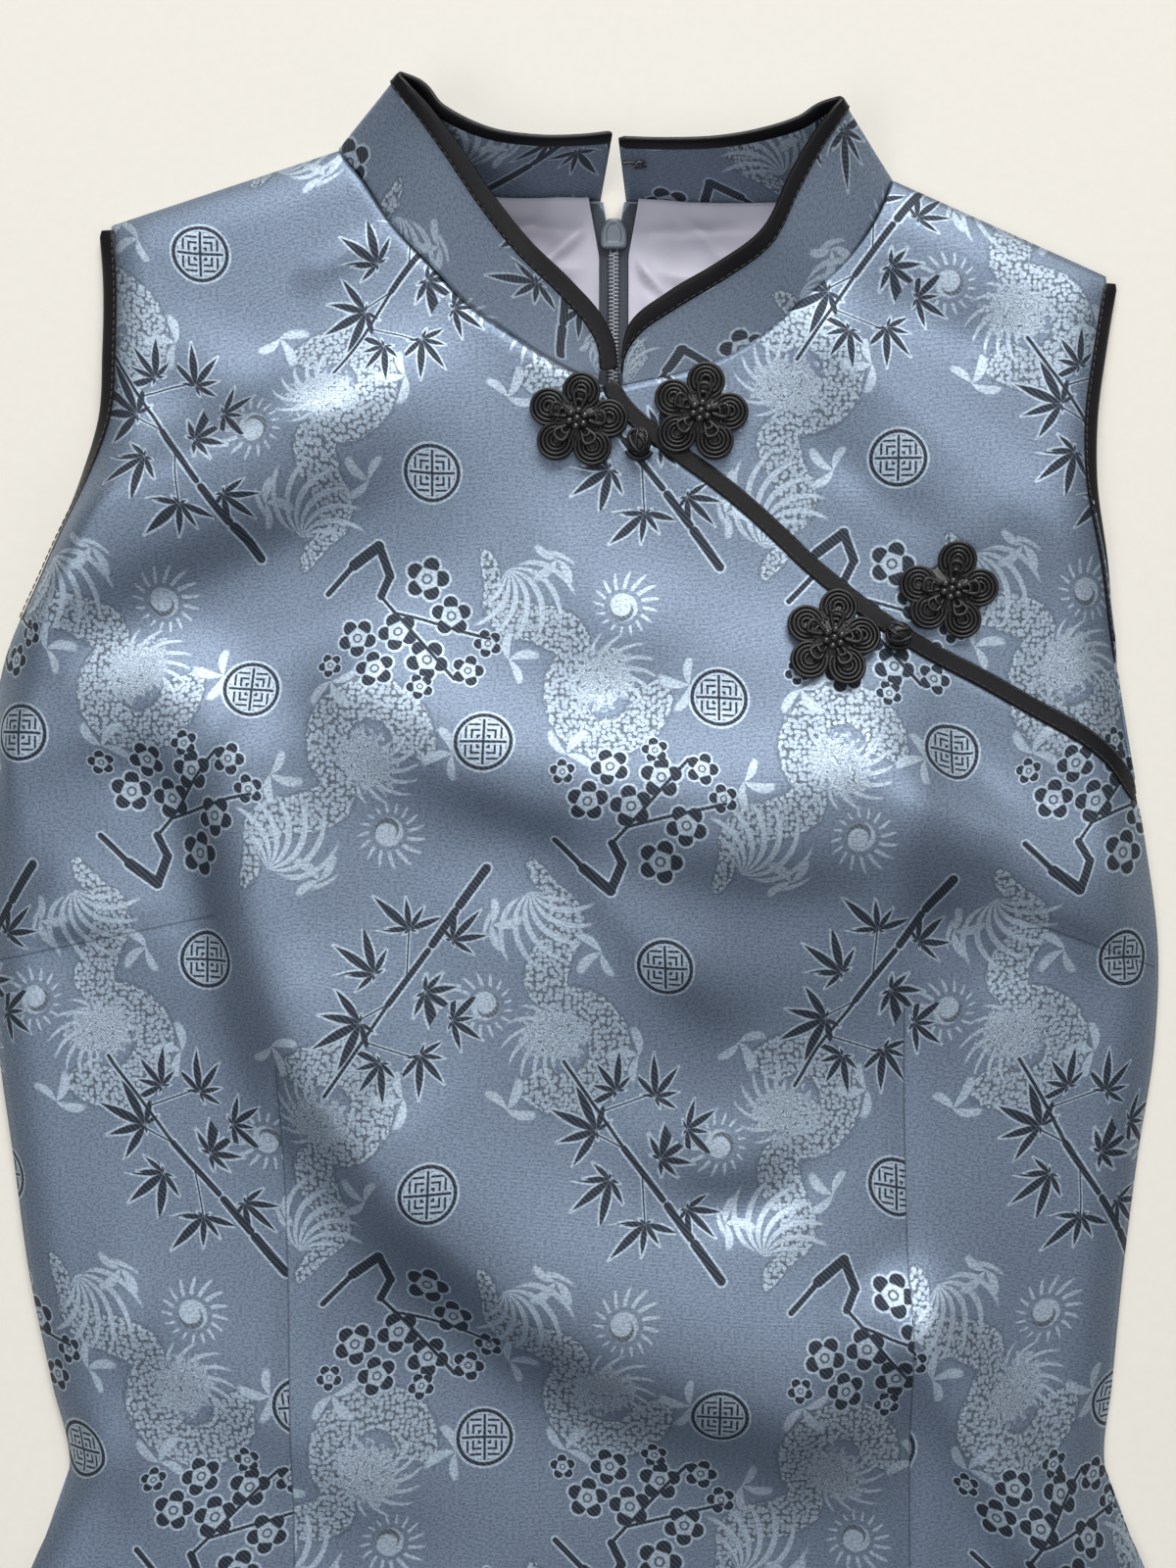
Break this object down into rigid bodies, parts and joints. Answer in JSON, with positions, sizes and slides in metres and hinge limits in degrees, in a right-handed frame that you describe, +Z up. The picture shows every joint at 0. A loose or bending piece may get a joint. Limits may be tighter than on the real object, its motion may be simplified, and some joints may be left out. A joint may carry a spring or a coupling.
{
  "type": "cheongsam dress",
  "caption": "Sleeveless brocade cheongsam laid flat face up, with a mandarin collar, bound diagonal opening, flower frogs, centre back zip and side slits.",
  "frame": {"origin": "middle of the waist, on the surface that the dress lies on; within a few millimetres of the middle of its bounding box's underside", "axes": "+Y up the dress from hem to collar, +X to the viewer's right with the front face up, +Z up away from the surface"},
  "size_m": [0.455, 0.9181, 0.0292],
  "materials": {
    "brocade": "blue-grey satin jacquard with pale and dark woven motifs",
    "black_satin": "black satin bias binding with a soft sheen",
    "lining": "lavender-grey smooth lining, slightly shiny",
    "black_cord": "black satin cord, coiled and knotted",
    "zip_tape": "dark grey woven zip tape",
    "zip_coil": "grey nylon coil",
    "zip_slider": "grey enamelled metal, unmarked",
    "steel": "bent steel wire"
  },
  "bodies": {
    "root": {"front_main": "brocade", "front_upper": "brocade", "back_left": "brocade", "back_right": "brocade", "collar_left": "brocade", "collar_right": "brocade", "collar_binding_left": "black_satin", "collar_binding_right": "black_satin", "diagonal_binding": "black_satin", "armhole_binding_front_left": "black_satin", "armhole_binding_front_right": "black_satin", "armhole_binding_back_left": "black_satin", "armhole_binding_back_right": "black_satin", "lining_left": "lining", "lining_right": "lining", "flower_upper_left": "black_cord", "flower_upper_right": "black_cord", "flower_lower_left": "black_cord", "flower_lower_right": "black_cord", "knot_upper": "black_cord", "knot_lower": "black_cord", "loop_upper": "black_cord", "loop_lower": "black_cord", "zip_tape_left": "zip_tape", "zip_tape_right": "zip_tape", "zip_coil": "zip_coil", "zip_slider": "zip_slider", "collar_hook": "steel"}
  },
  "joints": []
}
